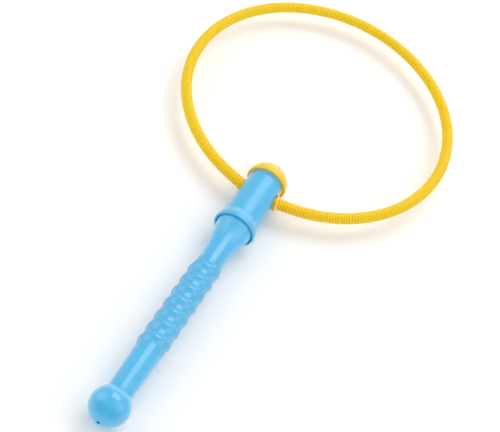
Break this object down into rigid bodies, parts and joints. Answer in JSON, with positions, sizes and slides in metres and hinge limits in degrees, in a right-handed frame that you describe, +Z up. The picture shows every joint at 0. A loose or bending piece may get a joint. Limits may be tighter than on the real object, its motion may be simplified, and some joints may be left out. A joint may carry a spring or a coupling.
{
  "type": "bubble wand",
  "caption": "Large hand-held bubble wand: a ribbed yellow hoop held in a sky-blue socket sleeve, on a pull-out handle with a spiral grip and a ball end.",
  "frame": {"origin": "on the surface that the wand lies on, under the middle of its length", "axes": "+Z up, square to the hoop's plane; +Y along the wand's axis from the ball towards the hoop; +X to the right"},
  "size_m": [0.2394, 0.4733, 0.0346],
  "materials": {
    "hoop_yellow": "flexible ribbed polyethylene tube, semi-gloss",
    "hub_yellow": "moulded plastic, semi-gloss",
    "sky_blue": "moulded plastic, gloss",
    "seal_rubber": "matt rubber"
  },
  "bodies": {
    "handle": {"handle_shell": "sky_blue", "pommel_ball": "sky_blue"},
    "seal": {"seal_ring": "seal_rubber"},
    "head": {"hoop_tube": "hoop_yellow", "hub_body": "hub_yellow", "hub_cap": "hub_yellow", "left_collar": "hub_yellow", "right_collar": "hub_yellow", "socket_sleeve": "sky_blue"}
  },
  "joints": [
    {"name": "head_twist", "type": "hinge", "parent": "handle", "child": "seal", "pos_m": [0, -0.0216, 0.0173], "axis": [0, 1, 0], "continuous": true},
    {"name": "head_pull", "type": "slide", "parent": "seal", "child": "head", "axis": [0, 1, 0], "range_m": [0, 0.06]}
  ]
}
